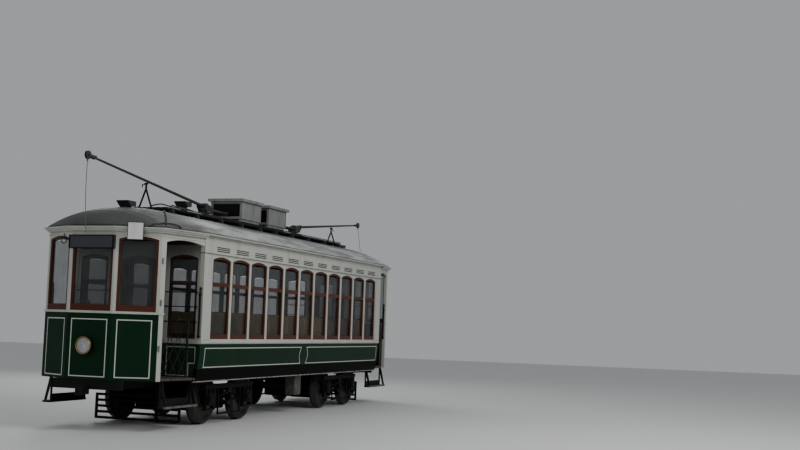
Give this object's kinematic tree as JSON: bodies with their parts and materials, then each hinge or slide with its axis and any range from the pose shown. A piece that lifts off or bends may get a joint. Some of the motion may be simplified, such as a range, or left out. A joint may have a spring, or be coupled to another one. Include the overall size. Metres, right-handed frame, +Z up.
{
  "type": "double-ended bogie electric tram",
  "caption": "Wooden-bodied electric tram on two bogies, with arched side windows, open platforms, roof resistor boxes and trolley poles.",
  "frame": {"origin": "on the ground under the middle of the car, at the bottom of the wheel flanges", "axes": "+X towards the front end, +Y towards the left side, +Z up"},
  "size_m": [10.924, 2.4932, 4.037],
  "materials": {
    "cream_paint": "aged cream gloss paint",
    "green_paint": "dark green gloss paint with a thin cream line",
    "black_paint": "dull black paint",
    "mahogany": "varnished red-brown hardwood",
    "floor_board": "worn boards",
    "roof_canvas": "boards under painted grey canvas",
    "roof_board": "weathered grey boards",
    "grey_sheet": "weathered grey paint on sheet",
    "trolley_steel": "dark oiled steel",
    "glass": "clear window glass",
    "rattan": "woven yellow cane",
    "cast_black": "dusty black castings",
    "wheel_steel": "dusty steel, bright on the tread",
    "motor_grey": "dusty grey castings",
    "brass": "worn brass",
    "sign_black": "blank dark sign"
  },
  "bodies": {
    "car": {"bulkhead_front": "cream_paint", "bulkhead_rear": "cream_paint", "bulkhead_sashes": "mahogany", "controllers": "cast_black", "cornice": "cream_paint", "couplers": "cast_black", "dado_left": "green_paint", "dado_right": "green_paint", "dash_front": "green_paint", "dash_rear": "green_paint", "destination_signs": "sign_black", "end_frame_front": "cream_paint", "end_frame_rear": "cream_paint", "end_sashes": "mahogany", "equipment_box": "motor_grey", "gate_lattice_front": "cast_black", "gate_lattice_rear": "cast_black", "grab_rails": "cast_black", "hand_brakes": "cast_black", "headlamps": "grey_sheet", "life_guards": "cast_black", "platform_floors": "floor_board", "pole_stands": "trolley_steel", "resistor_boxes": "grey_sheet", "rocker_panels": "black_paint", "roof": "roof_canvas", "roof_boards": "roof_board", "saloon_floor": "floor_board", "seats_left": "rattan", "seats_right": "rattan", "side_frame_left": "cream_paint", "side_frame_right": "cream_paint", "side_sashes_left": "mahogany", "side_sashes_right": "mahogany", "steps": "cast_black", "trolley_bases": "trolley_steel", "underframe": "black_paint", "ventilators": "grey_sheet", "window_glass": "glass"},
    "bogie_front": {"bogie_frame_front": "cast_black", "motors_front": "motor_grey"},
    "bogie_rear": {"bogie_frame_rear": "cast_black", "motors_rear": "motor_grey"},
    "wheelset_1": {"wheelset_1": "wheel_steel"},
    "wheelset_2": {"wheelset_2": "wheel_steel"},
    "wheelset_3": {"wheelset_3": "wheel_steel"},
    "wheelset_4": {"wheelset_4": "wheel_steel"},
    "trolley_base_front": {"trolley_swivel_front": "trolley_steel"},
    "trolley_base_rear": {"trolley_swivel_rear": "trolley_steel"},
    "trolley_pole_front": {"trolley_pole_front": "trolley_steel"},
    "trolley_pole_rear": {"trolley_pole_rear": "trolley_steel"},
    "trolley_wheel_front": {"trolley_wheel_front": "brass"},
    "trolley_wheel_rear": {"trolley_wheel_rear": "brass"},
    "saloon_door_front": {"saloon_door_front": "mahogany", "door_glass_front": "glass"},
    "saloon_door_rear": {"saloon_door_rear": "mahogany", "door_glass_rear": "glass"},
    "gate_front": {"gate_post_front": "cast_black"},
    "gate_rear": {"gate_post_rear": "cast_black"}
  },
  "joints": [
    {"name": "bogie_front_swivel", "type": "hinge", "parent": "car", "child": "bogie_front", "pos_m": [2.4, 0, 0.64], "axis": [0, 0, 1], "range_deg": [-10, 10]},
    {"name": "bogie_rear_swivel", "type": "hinge", "parent": "car", "child": "bogie_rear", "pos_m": [-2.4, 0, 0.64], "axis": [0, 0, 1], "range_deg": [-10, 10]},
    {"name": "wheelset_1_spin", "type": "hinge", "parent": "bogie_front", "child": "wheelset_1", "pos_m": [3.05, 0, 0.403], "axis": [0, 1, 0], "continuous": true},
    {"name": "wheelset_2_spin", "type": "hinge", "parent": "bogie_front", "child": "wheelset_2", "pos_m": [1.75, 0, 0.403], "axis": [0, 1, 0], "continuous": true},
    {"name": "wheelset_3_spin", "type": "hinge", "parent": "bogie_rear", "child": "wheelset_3", "pos_m": [-1.75, 0, 0.403], "axis": [0, 1, 0], "continuous": true},
    {"name": "wheelset_4_spin", "type": "hinge", "parent": "bogie_rear", "child": "wheelset_4", "pos_m": [-3.05, 0, 0.403], "axis": [0, 1, 0], "continuous": true},
    {"name": "trolley_front_swivel", "type": "hinge", "parent": "car", "child": "trolley_base_front", "pos_m": [1.85, 0, 3.495], "axis": [0, 0, 1], "range_deg": [-60, 60]},
    {"name": "trolley_front_lift", "type": "hinge", "parent": "trolley_base_front", "child": "trolley_pole_front", "pos_m": [2, 0, 3.615], "axis": [0, -1, 0], "range_deg": [0, 35]},
    {"name": "trolley_front_wheel_spin", "type": "hinge", "parent": "trolley_pole_front", "child": "trolley_wheel_front", "pos_m": [5.4, 0, 3.975], "axis": [0, 1, 0], "continuous": true},
    {"name": "saloon_door_front_slide", "type": "slide", "parent": "car", "child": "saloon_door_front", "axis": [0, 1, 0], "range_m": [0, 0.6]},
    {"name": "gate_front_slide", "type": "slide", "parent": "car", "child": "gate_front", "axis": [0.983, -0.1839, 0], "range_m": [-0.17, 0.36], "deforming": ["gate_lattice_front"]},
    {"name": "trolley_rear_swivel", "type": "hinge", "parent": "car", "child": "trolley_base_rear", "pos_m": [-1.85, 0, 3.495], "axis": [0, 0, 1], "range_deg": [-60, 60]},
    {"name": "trolley_rear_lift", "type": "hinge", "parent": "trolley_base_rear", "child": "trolley_pole_rear", "pos_m": [-2, 0, 3.615], "axis": [0, 1, 0], "range_deg": [0, 35]},
    {"name": "trolley_rear_wheel_spin", "type": "hinge", "parent": "trolley_pole_rear", "child": "trolley_wheel_rear", "pos_m": [-5.4, 0, 3.975], "axis": [0, 1, 0], "continuous": true},
    {"name": "saloon_door_rear_slide", "type": "slide", "parent": "car", "child": "saloon_door_rear", "axis": [0, 1, 0], "range_m": [0, 0.6]},
    {"name": "gate_rear_slide", "type": "slide", "parent": "car", "child": "gate_rear", "axis": [-0.983, 0.1839, 0], "range_m": [-0.17, 0.36], "deforming": ["gate_lattice_rear"]}
  ]
}
